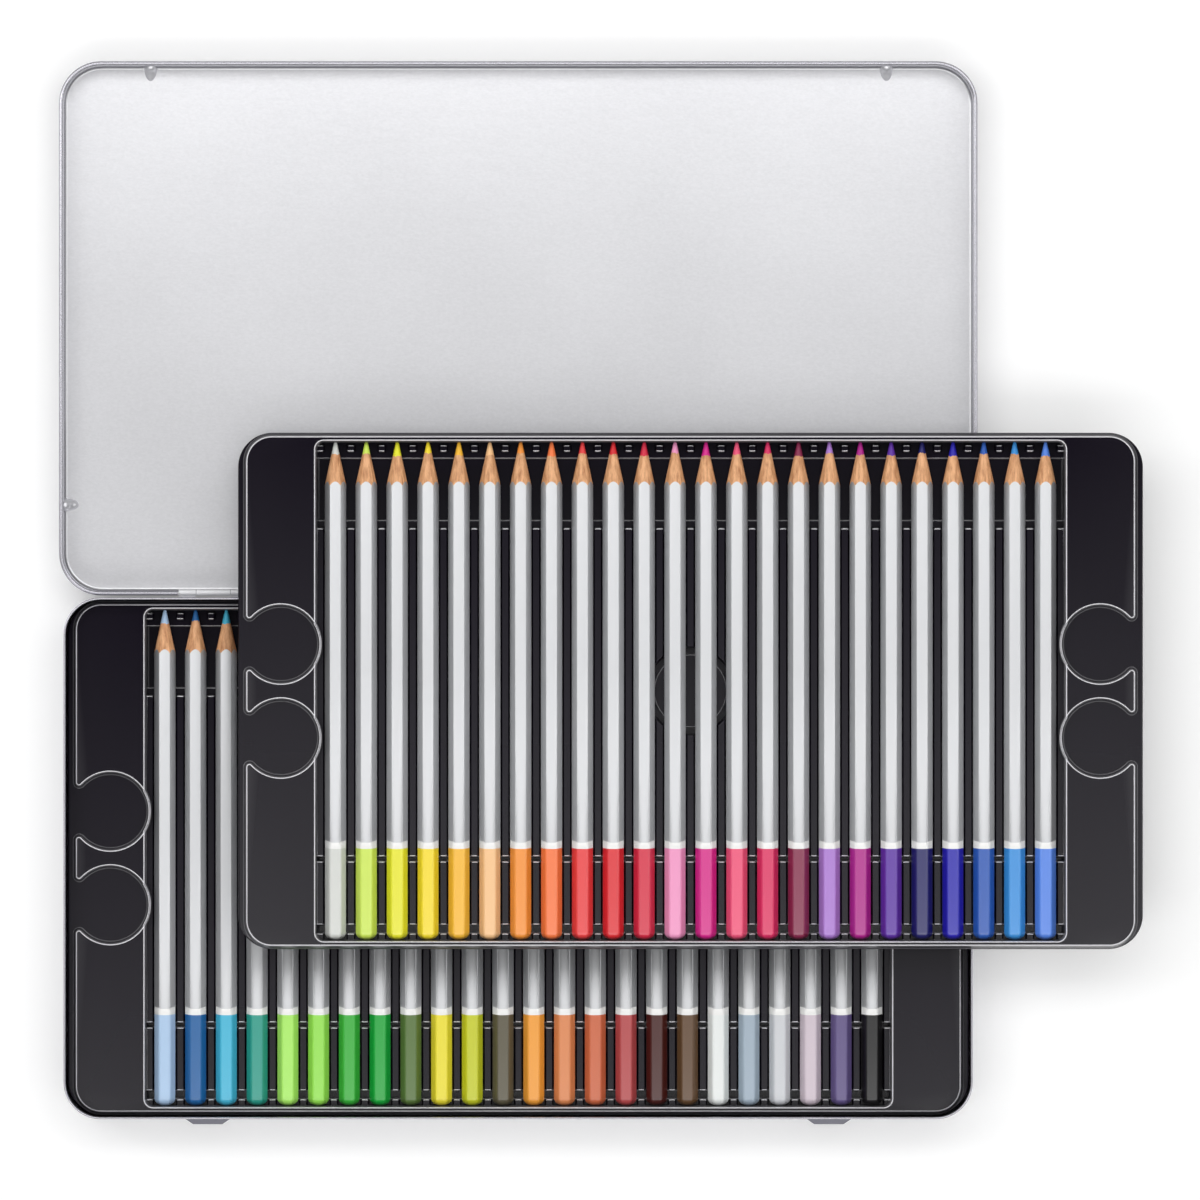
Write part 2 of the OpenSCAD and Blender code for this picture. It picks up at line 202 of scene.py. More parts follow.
def fan_faces(ring_first, columns, pole, flip=False):
    """Triangles between a closed ring of points and one pole point."""
    here = ring_first + np.arange(columns)
    after = ring_first + (np.arange(columns) + 1) % columns
    order = [here, after] if flip else [after, here]
    return np.stack([order[0], order[1], np.full(columns, pole)], axis=1).tolist()


def turned(points, turns):
    """Points turned by a number of quarter turns about the Z axis."""
    angle = turns * math.pi / 2
    c, s = math.cos(angle), math.sin(angle)
    x, y, z = points.T
    return np.stack([x * c - y * s, x * s + y * c, z], axis=1)


def arc(centre, radius, start, stop, count):
    """Points on a circle's arc, from one angle in degrees to another."""
    angle = np.radians(np.linspace(start, stop, count))
    way = np.stack([np.cos(angle), np.sin(angle)], axis=1)
    return np.asarray(centre) + radius * way


# ---------------------------------------------------------------- shading helpers


def srgb(red, green, blue):
    """A colour given in screen values from 0 to 255, as linear light."""
    value = np.array([red, green, blue], float) / 255
    light = np.where(value <= 0.04045, value / 12.92, ((value + 0.055) / 1.055) ** 2.4)
    return (*light.tolist(), 1.0)


def node(tree, kind, **settings):
    """A new node with its settings and its unlinked input values."""
    made = tree.nodes.new(kind)
    for key, value in settings.items():
        if key.startswith("in_"):
            made.inputs[key[3:].replace("_", " ")].default_value = value
        else:
            setattr(made, key, value)
    return made


def new_group(name, inputs, outputs):
    """An empty shader group with named sockets, and its tree, input and output."""
    tree = bpy.data.node_groups.new(name, "ShaderNodeTree")
    for label, kind, value in inputs:
        socket = tree.interface.new_socket(label, in_out="INPUT", socket_type=kind)
        socket.default_value = value
    for label, kind in outputs:
        tree.interface.new_socket(label, in_out="OUTPUT", socket_type=kind)
    return tree, tree.nodes.new("NodeGroupInput"), tree.nodes.new("NodeGroupOutput")


def grain_group():
    """Fine surface grain. A fine and a coarse noise are mixed to a height, and a slow noise
    gives a shade and a roughness that wander a little over the piece. Flecks give the
    shade some of the fine noise as well."""
    tree, given, put = new_group(
        "surface_grain",
        [
            ("Size", "NodeSocketVector", (1000.0, 1000.0, 1000.0)),
            ("Wander", "NodeSocketFloat", 0.05),
            ("Fleck", "NodeSocketFloat", 0.0),
        ],
        [("Height", "NodeSocketFloat"), ("Shade", "NodeSocketFloat"), ("Rough", "NodeSocketFloat")],
    )
    link = tree.links.new
    place = node(tree, "ShaderNodeTexCoord")
    stretch = node(tree, "ShaderNodeVectorMath", operation="MULTIPLY")
    link(place.outputs["Object"], stretch.inputs[0])
    link(given.outputs["Size"], stretch.inputs[1])
    fine = node(tree, "ShaderNodeTexNoise", in_Scale=1.0, in_Detail=3.0, in_Roughness=0.6)
    coarse = node(tree, "ShaderNodeTexNoise", in_Scale=0.22, in_Detail=2.0, in_Roughness=0.5)
    slow = node(tree, "ShaderNodeTexNoise", in_Scale=14.0, in_Detail=3.0, in_Roughness=0.55)
    link(stretch.outputs[0], fine.inputs["Vector"])
    link(stretch.outputs[0], coarse.inputs["Vector"])
    link(place.outputs["Object"], slow.inputs["Vector"])
    height = node(tree, "ShaderNodeMath", operation="MULTIPLY_ADD")
    height.inputs[1].default_value = 0.6
    link(fine.outputs["Fac"], height.inputs[0])
    link(coarse.outputs["Fac"], height.inputs[2])
    link(height.outputs[0], put.inputs["Height"])
    centred = node(tree, "ShaderNodeMath", operation="SUBTRACT")
    centred.inputs[1].default_value = 0.5
    link(slow.outputs["Fac"], centred.inputs[0])
    fleck = node(tree, "ShaderNodeMath", operation="SUBTRACT")
    fleck.inputs[1].default_value = 0.5
    link(fine.outputs["Fac"], fleck.inputs[0])
    flecked = node(tree, "ShaderNodeMath", operation="MULTIPLY_ADD")
    flecked.inputs[2].default_value = 1.0
    link(fleck.outputs[0], flecked.inputs[0])
    link(given.outputs["Fleck"], flecked.inputs[1])
    shade = node(tree, "ShaderNodeMath", operation="MULTIPLY_ADD")
    link(flecked.outputs[0], shade.inputs[2])
    link(centred.outputs[0], shade.inputs[0])
    link(given.outputs["Wander"], shade.inputs[1])
    link(shade.outputs[0], put.inputs["Shade"])
    rough = node(tree, "ShaderNodeMath", operation="MULTIPLY")
    link(centred.outputs[0], rough.inputs[0])
    link(given.outputs["Wander"], rough.inputs[1])
    link(rough.outputs[0], put.inputs["Rough"])
    return tree


GRAIN = grain_group()


def surface(name, colour, roughness, grain, wander=0.06, bump=0.1, depth=0.02, fleck=0.0, **shader):
    """A Principled material whose colour, roughness and normal carry the grain group. The grain
    is how often it repeats in a metre, along each axis. Shade and roughness drift by the
    wander and the fleck, and the relief has the strength `bump` and a depth in millimetres."""
    material = bpy.data.materials.new(name)
    material.use_nodes = True
    tree = material.node_tree
    tree.nodes.clear()
    link = tree.links.new
    out = node(tree, "ShaderNodeOutputMaterial")
    lit = node(tree, "ShaderNodeBsdfPrincipled")
    for key, value in shader.items():
        lit.inputs[key.replace("_", " ")].default_value = value
    link(lit.outputs[0], out.inputs["Surface"])
    group = node(tree, "ShaderNodeGroup", node_tree=GRAIN)
    group.inputs["Size"].default_value = grain
    group.inputs["Wander"].default_value = wander
    group.inputs["Fleck"].default_value = fleck
    tint = node(tree, "ShaderNodeVectorMath", operation="SCALE")
    tint.inputs[0].default_value = colour[:3]
    link(group.outputs["Shade"], tint.inputs["Scale"])
    link(tint.outputs[0], lit.inputs["Base Color"])
    dull = node(tree, "ShaderNodeMath", operation="ADD")
    dull.inputs[1].default_value = roughness
    link(group.outputs["Rough"], dull.inputs[0])
    link(dull.outputs[0], lit.inputs["Roughness"])
    relief = node(tree, "ShaderNodeBump", in_Strength=bump, in_Distance=depth * MM)
    link(group.outputs["Height"], relief.inputs["Height"])
    link(relief.outputs[0], lit.inputs["Normal"])
    return material


def principled(material):
    """The Principled node of a material made by `surface`."""
    return next(n for n in material.node_tree.nodes if n.type == "BSDF_PRINCIPLED")


WOOD_TONES = [(0.3, srgb(176, 116, 72)), (0.62, srgb(236, 180, 132))]


def wood_surface():
    """Sharpened cedar: long fine fibres along Y, and darker and lighter growth streaks."""
    material = surface(
        "cedar_cone", srgb(222, 172, 124), roughness=0.62, grain=(3000.0, 260.0, 3000.0),
        wander=0.1, bump=0.5, depth=0.05,
    )
    tree = material.node_tree
    link = tree.links.new
    lit = principled(material)
    place = node(tree, "ShaderNodeTexCoord")
    along = node(tree, "ShaderNodeMapping")
    along.inputs["Scale"].default_value = (900.0, 60.0, 900.0)
    link(place.outputs["Object"], along.inputs["Vector"])
    streak = node(tree, "ShaderNodeTexNoise", in_Scale=1.0, in_Detail=4.0, in_Roughness=0.65)
    link(along.outputs[0], streak.inputs["Vector"])
    tones = node(tree, "ShaderNodeValToRGB")
    for element, (position, tone) in zip(tones.color_ramp.elements, WOOD_TONES):
        element.position, element.color = position, tone
    link(streak.outputs["Fac"], tones.inputs["Fac"])
    link(tones.outputs["Color"], lit.inputs["Base Color"])
    return material


def black_plastic():
    """Black formed sheet. The attribute `gloss` makes its coat shine more towards the front,
    and a second attribute mixes a painted highlight, pale grey, into its colour along its formed
    edges."""
    material = surface(
        "black_formed_plastic", srgb(15, 10, 22), roughness=0.3, grain=(2200.0, 2200.0, 2200.0),
        wander=0.12, bump=0.2, depth=0.03, Specular_IOR_Level=0.05, Coat_Roughness=0.27, Coat_IOR=1.54,
    )
    tree = material.node_tree
    link = tree.links.new
    lit = principled(material)
    gloss = node(tree, "ShaderNodeAttribute", attribute_name="gloss")
    link(gloss.outputs["Fac"], lit.inputs["Coat Weight"])
    # painted highlight: a pale grey mixed into the colour along the formed edges, by this attribute
    rubbed = node(tree, "ShaderNodeAttribute", attribute_name="rubbed")
    mix = node(tree, "ShaderNodeMix", data_type="RGBA")
    mix.inputs["B"].default_value = srgb(236, 235, 239)
    link(lit.inputs["Base Color"].links[0].from_socket, mix.inputs["A"])
    link(rubbed.outputs["Fac"], mix.inputs["Factor"])
    link(mix.outputs["Result"], lit.inputs["Base Color"])
    return material


TINPLATE = surface(
    "satin_tinplate", srgb(209, 209, 212), roughness=0.3, grain=(800.0, 1400.0, 1400.0),
    wander=0.08, bump=0.5, depth=0.05, fleck=0.2, Metallic=0.75,
)
# a darker copy of the tinplate for the walls and the rim: its darker colour is painted shade
TIN_WALL_SHADED = surface(
    "tin_wall_painted_shade", srgb(190, 189, 196), roughness=0.24, grain=(2400.0, 2400.0, 2400.0),
    wander=0.06, bump=0.05, depth=0.01, Metallic=0.85,
)
# a paler, nearly matt copy of the tinplate for the hinge curls: its light colour is a painted
# highlight
CURL_TIN_HIGHLIT = surface(
    "rolled_tin_painted_highlight", srgb(246, 246, 248), roughness=0.4, grain=(2400.0, 2400.0, 2400.0),
    wander=0.06, bump=0.05, depth=0.01, Metallic=0.15,
)
# a darker copy of the tinplate for the thumb lugs: its dark colour is painted shade
LUG_TIN_SHADED = surface(
    "rubbed_lug_tin", srgb(122, 122, 130), roughness=0.3, grain=(900.0, 2400.0, 2400.0),
    wander=0.1, bump=0.1, depth=0.02, Metallic=1.0,
)
PIP_TIN = surface(
    "pressed_tin", srgb(226, 226, 230), roughness=0.22, grain=(2400.0, 2400.0, 2400.0),
    wander=0.05, bump=0.05, depth=0.01, Metallic=0.5,
)
PIN_WIRE = surface(
    "pin_wire", srgb(200, 200, 204), roughness=0.3, grain=(300.0, 2500.0, 2500.0),
    wander=0.08, bump=0.2, depth=0.02, Metallic=1.0,
)
BLACK_PLASTIC = black_plastic()
SILVER_PAINT = surface(
    "silver_lacquer", srgb(208, 209, 211), roughness=0.52, grain=(2600.0, 1400.0, 2600.0),
    wander=0.05, bump=0.2, depth=0.015, Metallic=0.85,
)
WHITE_RING = surface(
    "white_lacquer", srgb(238, 238, 236), roughness=0.3, grain=(900.0, 900.0, 900.0),
    wander=0.03, bump=0.1, depth=0.02, Coat_Weight=0.5,
)
CEDAR = wood_surface()


def lacquer(shade, colour, shine):
    """The glossy dipped end coat of one pencil."""
    return surface(
        "coat_" + shade, colour, roughness=0.3, grain=(700.0, 260.0, 700.0),
        wander=0.07, bump=0.12, depth=0.03, Coat_Weight=shine, Coat_Roughness=0.32, Coat_IOR=1.6,
    )


def core_pigment(shade, colour):
    """The waxy colour core of one pencil, with the sharpener's fine marks round it."""
    return surface(
        "core_" + shade, colour, roughness=0.5, grain=(1200.0, 4200.0, 1200.0),
        wander=0.14, bump=0.45, depth=0.04,
    )


# ---------------------------------------------------------------- pans


def rim_path(width, depth, radius, marks_x=(), side_steps=6, corner_steps=14):
    """The path of a rim round a rectangle with round corners, as the corner centre that each
    step belongs to and its outward direction. On the side that faces -Y, a step is added
    twice at each mark, so that a cut can start there."""
    cx, cy = width / 2 - radius, depth / 2 - radius
    centres, ways = [], []
    ends = [(cx, -cy), (cx, cy), (-cx, cy), (-cx, -cy), (cx, -cy)]
    for start, stop, angle in zip(ends, ends[1:], (0, 90, 180, 270)):
        share = np.linspace(0, 1, side_steps)
        if angle == 270:
            extra = [(m + cx) / (2 * cx) for m in marks_x]
            share = np.sort(np.concatenate([share, extra, extra]))
        line = np.outer(1 - share, start) + np.outer(share, stop)
        way = np.array([math.cos(math.radians(angle)), math.sin(math.radians(angle))])
        centres.append(line)
        ways.append(np.repeat(way[None, :], len(share), axis=0))
        bend = np.radians(angle + np.linspace(0, 90, corner_steps + 2)[1:-1])
        centres.append(np.repeat(np.array([stop]), corner_steps, axis=0))
        ways.append(np.stack([np.cos(bend), np.sin(bend)], axis=1))
    return np.concatenate(centres), np.concatenate(ways)


def swept_pan(name, centre_y, path, profile, cuts, materials, wall_rows):
    """A pan's sheet: its profile carried round the rim path, from the panel's top side up
    and over the rim and down to the panel's underside, with a flat panel closing each end.
    A point of the path inside a cut has its profile pressed down to the cut's height and in
    to the wall. Point = corner centre + distance * outward direction, at the profile's z.
    The profile's rows of the wall get the second material."""
    centres, ways = path
    cut_low, wall_r = cuts
    rows, columns = len(profile), len(centres)
    reach = np.repeat(profile[:, 0][:, None], columns, axis=1)
    height = np.repeat(profile[:, 1][:, None], columns, axis=1)
    pressed = cut_low[None, :] & (height > CUT_LOW_Z)
    reach = np.where(pressed, np.clip(reach, wall_r - SHEET_T, wall_r), reach)
    height = np.where(pressed, CUT_LOW_Z, height)
    x = centres[None, :, 0] + reach * ways[None, :, 0]
    y = centres[None, :, 1] + reach * ways[None, :, 1] + centre_y
    points = np.stack([x, y, height], axis=2).reshape(-1, 3)
    faces = [f[::-1] for f in grid_faces(rows, columns)]
    faces.append(list(range(columns)))
    faces.append(list(range((rows - 1) * columns, rows * columns))[::-1])
    on_wall = np.zeros(rows - 1, int)
    on_wall[slice(*wall_rows)] = 1
    kinds = np.concatenate([np.repeat(on_wall, columns), [0, 0]])
    return make_piece(name, points, faces, materials, kinds)


# the rows of each profile that are wall and rim, counted from the panel
BASE_WALL_ROWS = (4, 26)
LID_WALL_ROWS = (5, 31)
CLOSE = 1e-6


def base_profile():
    """The base's sheet: panel, inner bend, inner wall, the hem folded in and rounded over
    the rim, outer wall, outer bend, underside."""
    r, t = BASE_CORNER_R, SHEET_T
    hem_z = BASE_H - HEM_H
    return np.concatenate([
        [(r - BASE_PANEL_IN, t)],
        arc((r - BEND_R, BEND_R), BEND_R - t, -90, 0, 7),
        [(r - t, hem_z - HEM_RUN), (r - t - HEM_KNEE[0], hem_z - HEM_KNEE[1]), (r - 2 * t, hem_z)],
        arc((r - t, BASE_H - t), t, 180, 0, 9),
        arc((r - BEND_R, BEND_R), BEND_R, 0, -90, 9),
        [(r - BASE_PANEL_IN, 0)],
    ])


def lid_profile():
    """The lid's sheet: panel, inner bend, inner wall, the bead curled out over the rim and
    back to the wall, outer wall, outer bend, underside."""
    r, t = LID_CORNER_R, SHEET_T
    bead = (r - t + BEAD_R, LID_RIM_Z - BEAD_R)
    back = -180 + math.degrees(math.acos((BEAD_R - t) / BEAD_R))
    return np.concatenate([
        [(r - LID_PANEL_IN, t)],
        arc((r - BEND_R, BEND_R), BEND_R - t, -90, 0, 9),
        arc(bead, BEAD_R, 180, back, 17),
        arc((r - BEND_R, BEND_R), BEND_R, 0, -90, 9),
        [(r - LID_PANEL_IN, 0)],
    ])


def build_base():
    """The base's sheet, with no cut in its wall."""
    path = rim_path(BASE_W, BASE_D, BASE_CORNER_R)
    no_cut = (np.zeros(len(path[0]), bool), BASE_CORNER_R)
    materials = [TINPLATE, TIN_WALL_SHADED]
    pan = swept_pan("base_shell", 0.0, path, base_profile(), no_cut, materials, BASE_WALL_ROWS)
    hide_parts("base_pan")
    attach(pan, "base")


def build_lid():
    """The lid's sheet, its wall cut low where each hinge stands. A cut starts between the two
    path points that its mark has, so one of each pair belongs to the cut."""
    half = HINGE_LEN / 2 + CURL_GAP
    marks = [-HINGE_X - half, -HINGE_X + half, HINGE_X - half, HINGE_X + half]
    path = rim_path(LID_OUT_W, LID_OUT_D, LID_CORNER_R, marks)
    centres, ways = path
    on_back = ways[:, 1] < -0.999
    near = np.minimum(np.abs(centres[:, 0] - HINGE_X), np.abs(centres[:, 0] + HINGE_X))
    cut = on_back & (near < half - CLOSE)
    for mark, taken in zip(marks, (1, 0, 1, 0)):
        pair = np.flatnonzero(on_back & (np.abs(centres[:, 0] - mark) < CLOSE))
        cut[pair[taken]] = True
    cuts = (cut, LID_CORNER_R)
    materials = [TINPLATE, TIN_WALL_SHADED]
    pan = swept_pan("lid_shell", LID_MID_Y, path, lid_profile(), cuts, materials, LID_WALL_ROWS)
    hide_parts("lid_pan")
    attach(pan, "lid")


def rolled_strip(path, thickness, x0, x1):
    """A strip of sheet along a path in the Y-Z plane, from x0 to x1: each path point is
    pushed half the thickness to both sides of the path, and the closed outline is drawn out
    along X and capped."""
    path = np.asarray(path, float)
    ahead = np.gradient(path, axis=0)
    ahead /= np.linalg.norm(ahead, axis=1)[:, None]
    side = np.stack([-ahead[:, 1], ahead[:, 0]], axis=1) * thickness / 2
    outline = np.concatenate([path + side, (path - side)[::-1]])
    count = len(outline)
    ends = [np.column_stack([np.full(count, x), outline]) for x in (x0, x1)]
    points = np.concatenate(ends)
    here = np.arange(len(path) - 1)
    cap = np.stack([here, here + 1, count - 2 - here, count - 1 - here], axis=1)
    return points, grid_faces(2, count) + cap.tolist() + (cap + count)[:, ::-1].tolist()


def joined(parts):
    """Several point and face lists as one."""
    points, faces, first = [], [], 0
    for more_points, more_faces in parts:
        points.append(np.asarray(more_points))
        faces += [[i + first for i in f] for f in more_faces]
        first += len(more_points)
    return np.concatenate(points), faces


def build_hinges():
    """Each hinge: two curls on the base's leaf and one on the lid's, round the same pin."""
    middle_r = PIN_R + PIN_PLAY + CURL_T / 2
    wall_y = BASE_D / 2 + CURL_T / 2
    low_z = HINGE_Z - middle_r
    base_leaf = np.concatenate([
        [(wall_y, low_z - BASE_LEAF)],
        arc((wall_y + BASE_LEAF_BEND_R, low_z - BASE_LEAF_BEND_R), BASE_LEAF_BEND_R, 180, 90, 6),
        arc((HINGE_Y, HINGE_Z), middle_r, -90, 215, 34),
    ])
    lid_y = LID_BACK_Y + SHEET_T / 2
    lid_leaf = np.concatenate([
        [(lid_y, CUT_LOW_Z - LID_LEAF), (lid_y + LID_LEAF_KNEE[0], CUT_LOW_Z + LID_LEAF_KNEE[1])],
        arc((HINGE_Y, HINGE_Z), middle_r, -8, 295, 34),
    ])
    side_len = (HINGE_LEN - LID_CURL_LEN) / 2 - CURL_GAP
    base_parts, lid_parts = [], []
    for x in (-HINGE_X, HINGE_X):
        left, right = x - HINGE_LEN / 2, x + HINGE_LEN / 2
        base_parts.append(rolled_strip(base_leaf, CURL_T, left, left + side_len))
        base_parts.append(rolled_strip(base_leaf, CURL_T, right - side_len, right))
        lid_parts.append(rolled_strip(lid_leaf, CURL_T, x - LID_CURL_LEN / 2, x + LID_CURL_LEN / 2))
    for name, parts, body, stands_for in (
        ("base_hinge_curls", base_parts, "base", "base_pan"),
        ("lid_hinge_curls", lid_parts, "lid", "lid_pan"),
    ):
        points, faces = joined(parts)
        piece = make_piece(name, points, faces, [CURL_TIN_HIGHLIT], sharp=50)
        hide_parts(stands_for)
        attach(piece, body)
    for pin in ("hinge_pin_left", "hinge_pin_right"):
        frame["nodes"][pin].data.materials.clear()
        frame["nodes"][pin].data.materials.append(PIN_WIRE)


def build_lugs():
    """The two thumb lugs: a tapered shelf on the front wall, its edges rounded."""
    top_z = HINGE_Z - BEAD_R - LUG_BELOW_BEAD
    plan = np.array([
        (-LUG_W / 2, LUG_ROOT), (-LUG_W / 2, 0.0), (-LUG_TIP_W / 2, -LUG_OUT),
        (LUG_TIP_W / 2, -LUG_OUT), (LUG_W / 2, 0.0), (LUG_W / 2, LUG_ROOT),
    ])
    count = len(plan)
    sides = [f[::-1] for f in grid_faces(2, count)]
    faces = sides + [list(range(count))[::-1], list(range(count, 2 * count))]
    parts = []
    for x in (-(BASE_W / 2 - LUG_IN), BASE_W / 2 - LUG_IN):
        outline = plan + (x, -BASE_D / 2)
        levels = [np.column_stack([outline, np.full(count, z)]) for z in (top_z - LUG_H, top_z)]
        parts.append((np.concatenate(levels), faces))
    points, faces = joined(parts)
    piece = make_piece("thumb_lugs", points, faces, [LUG_TIN_SHADED])
    bevel = piece.modifiers.new("edge", "BEVEL")
    bevel.width, bevel.segments = LUG_EDGE_R * MM, 3
    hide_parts("base_pan")
    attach(piece, "base")


def pip_surface():
    """A stop pip pressed into the wall at x = 0: a lump that is steep at the top and runs out
    over the panel. With the turn a from side to side, the point at each height z is
    (reach(z) * cos a, half_width(z) * sin a, z)."""
    turn = np.radians(np.linspace(-90, 90, 25))
    height = PIP_H * np.array([0.06, 0.12, 0.22, 0.32, 0.39, 0.5, 0.66, 0.82, 0.94, 1.0])
    reach = PIP_FOOT * np.array([1.0, 0.98, 0.92, 0.8, 0.66, 0.5, 0.42, 0.34, 0.2, 0.0])
    half_width = PIP_R * np.array([1.0, 1.0, 0.98, 0.94, 0.9, 0.86, 0.8, 0.7, 0.45, 0.0])
    x = np.outer(reach, np.cos(turn)) - PIP_SUNK
    y = np.outer(half_width, np.sin(turn))
    z = np.repeat(height[:, None], len(turn), axis=1)
    points = np.stack([x, y, z], axis=2).reshape(-1, 3)
    return points, [f[::-1] for f in grid_faces(len(height), len(turn), wrap=False)]


def build_pips():
    """The lid's four stop pips: two in the front wall, and one in each side wall."""
    points, faces = pip_surface()
    inner_x = LID_OUT_W / 2 - SHEET_T
    parts = []
    for x in (-(BASE_W / 2 - PIP_SIDE), BASE_W / 2 - PIP_SIDE):
        parts.append((turned(points, -1) + (x, LID_FRONT_Y - SHEET_T, 0), faces))
    parts.append((points + (-inner_x, HINGE_Y + PIP_Y, 0), faces))
    parts.append((turned(points, 2) + (inner_x, HINGE_Y + PIP_Y, 0), faces))
    piece = make_piece("lid_stop_pips", *joined(parts), [PIP_TIN])
    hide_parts("lid_pan")
    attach(piece, "lid")


# ---------------------------------------------------------------- trays

TOP_W = PENCILS * PITCH + TROUGH_MARGIN + 2 * PANEL_W
TOP_D = PENCIL_LEN + 2 * END_GAP + 2 * RAIL_W
TROUGH_W = TOP_W - 2 * PANEL_W
TROUGH_D = TOP_D - 2 * RAIL_W
TRAY_W = TOP_W + 2 * FLANGE_X
TRAY_D = TOP_D + 2 * FLANGE_Y
WELL_X = (TOP_W + TROUGH_W) / 4
FLANGE_Z = TRAY_H - FLANGE_DROP
TIP_WALL = PENCIL_LEN + END_GAP
GROOVE_R = PAD_R + PAD_GROOVE

# where the beds and the rows of ribs start and stop, from the pencils' blunt ends on
BEDS = [(-END_GAP, 2.4), (5.2, 27.7), (29.2, 147.4), (TIP_WALL - 6.1, TIP_WALL)]
RIB_ROWS = [(-END_GAP, 2.2), (5.4, 27.5), (29.4, 144.6), (TIP_WALL - 3.7, TIP_WALL - 1.6)]


def rounded_step(high, low, run, top_r, foot_r, count=4):
    """A sloping wall between two levels, as distances outwards and heights. Both its edges
    are rounded: each is an arc that touches the level and the slope."""
    slope = math.atan2(high - low, run)
    turn = np.linspace(0, slope, count)
    reach = math.tan(slope / 2)
    back = turn[::-1]
    top = (-top_r * reach + top_r * np.sin(turn), high - top_r * (1 - np.cos(turn)))
    foot = (run + foot_r * reach - foot_r * np.sin(back), low + foot_r * (1 - np.cos(back)))
    return np.concatenate([top[0], foot[0]]), np.concatenate([top[1], foot[1]])


# the sloping edges, and the height that the flange's lip takes off
PLATFORM_EDGE = rounded_step(TRAY_H, FLANGE_Z, run=0.9, top_r=0.5, foot_r=0.6)
TROUGH_EDGE = rounded_step(TRAY_H, FLOOR_Z, run=0.8, top_r=0.5, foot_r=0.7)
BED_EDGE = rounded_step(BED_Z, FLOOR_Z, run=0.25, top_r=0.25, foot_r=0.2, count=3)
RIB_EDGE = rounded_step(RIB_Z, FLOOR_Z, run=RIB_RUN, top_r=0.4, foot_r=0.2)
LIP_EDGE = (np.array([-0.7, -0.45, -0.2, 0.0]), np.array([0.0, 0.04, 0.18, 0.45]))

# how much painted highlight an edge gets at each of its points, and the beds' and the pad's share
EDGE_HIGHLIGHT = np.array([0.0, 1.0, 1.0, 0.25, 0.0, 0.12, 0.12, 0.0])
BED_HIGHLIGHT = np.array([0.0, 1.0, 0.5, 0.0, 0.2, 0.0])
BED_SHARE = 0.8
PAD_SHARE = 0.6
GROOVE_REACH = 0.5


def platform_ring(out):
    """The outline of the raised platform, moved outwards by `out`. It is a chain of arcs
    joined by straight lines: moving it out adds to the radius of each arc that bulges
    outwards, and takes from the radius of each well, which bulges inwards."""
    corner_r = TRAY_CORNER_R - FLANGE_X
    cx, cy = TOP_W / 2 - corner_r, TOP_D / 2 - corner_r
    fx = TOP_W / 2 - WELL_LIP_R
    rise = math.sqrt((WELL_R + WELL_LIP_R) ** 2 - (fx - WELL_X) ** 2)
    lean = math.degrees(math.atan2(rise, WELL_X - fx))
    right = []
    for wy in (-WELL_PITCH / 2, WELL_PITCH / 2):
        right.append(arc((fx, wy - rise), WELL_LIP_R + out, 0, lean, 8))
        right.append(arc((WELL_X, wy), WELL_R - out, lean - 180, -180 - lean, 72))
        right.append(arc((fx, wy + rise), WELL_LIP_R + out, -lean, 0, 8))
    right.append(arc((cx, cy), corner_r + out, 0, 90, 16))
    half = np.concatenate([arc((cx, -cy), corner_r + out, -90, 0, 16)] + right)
    return np.concatenate([half, -half])


def rect_ring(width, depth, radius, out, count=8):
    """A rectangle with round corners, moved outwards by `out`."""
    cx, cy = width / 2 - radius, depth / 2 - radius
    places = [(cx, cy, 0), (-cx, cy, 90), (-cx, -cy, 180), (cx, -cy, 270)]
    return np.concatenate([arc((x, y), radius + out, a, a + 90, count) for x, y, a in places])


def rect_distance(x, y, width, depth, radius):
    """Distance outwards from a rectangle with round corners, negative inside."""
    qx = np.abs(x) - (width / 2 - radius)
    qy = np.abs(y) - (depth / 2 - radius)
    outside = np.hypot(np.maximum(qx, 0), np.maximum(qy, 0))
    return outside + np.minimum(np.maximum(qx, qy), 0) - radius


TINY = 1e-12
PLACES_AT_ONCE = 4000


def platform_distance(x, y):
    """Distance outwards from the platform's outline, negative inside it: the least distance
    to the outline's chords, with its sign from how often a ray to +X crosses them."""
    start = platform_ring(0.0)
    (ax, ay), (bx, by) = start.T, np.roll(start, -1, axis=0).T
    run, rise = bx - ax, by - ay
    length = np.maximum(run ** 2 + rise ** 2, TINY)
    safe_rise = np.where(np.abs(rise) < TINY, TINY, rise)
    result = np.empty(len(x))
    for part in np.array_split(np.arange(len(x)), max(1, len(x) // PLACES_AT_ONCE)):
        px, py = x[part][:, None], y[part][:, None]
        share = np.clip(((px - ax) * run + (py - ay) * rise) / length, 0, 1)
        away = np.hypot(px - ax - share * run, py - ay - share * rise).min(1)
        spans = (ay > py) != (by > py)
        meets = px < ax + (py - ay) * run / safe_rise
        inside = (spans & meets).sum(1) % 2 == 1
        result[part] = np.where(inside, -away, away)
    return result


def well_distance(x, y):
    """Distance outwards from the nearest finger well's circle, negative inside it."""
    return np.hypot(np.abs(x) - WELL_X, np.abs(y) - WELL_PITCH / 2) - WELL_R


def trough_ring(inwards):
    """The trough's outline, moved inwards: a rectangle with round corners, into whose sides
    the finger wells' circles bulge. Each bulge is the part of a well's circle, grown by the
    same distance, that lies beyond the side's line."""
    half_w = TROUGH_W / 2 - inwards
    grown = WELL_R + inwards
    half_angle = math.degrees(math.acos((WELL_X - half_w) / grown))
    ring = rect_ring(TROUGH_W, TROUGH_D, TROUGH_CORNER_R, -inwards, 8)
    bulges = []
    for side, middle in ((1, 180), (-1, 0)):
        for wy in (-WELL_PITCH / 2, WELL_PITCH / 2):
            ends = middle - half_angle, middle + half_angle
            bulges.append(arc((side * WELL_X, wy), grown, *ends, 17))
    return ring, bulges


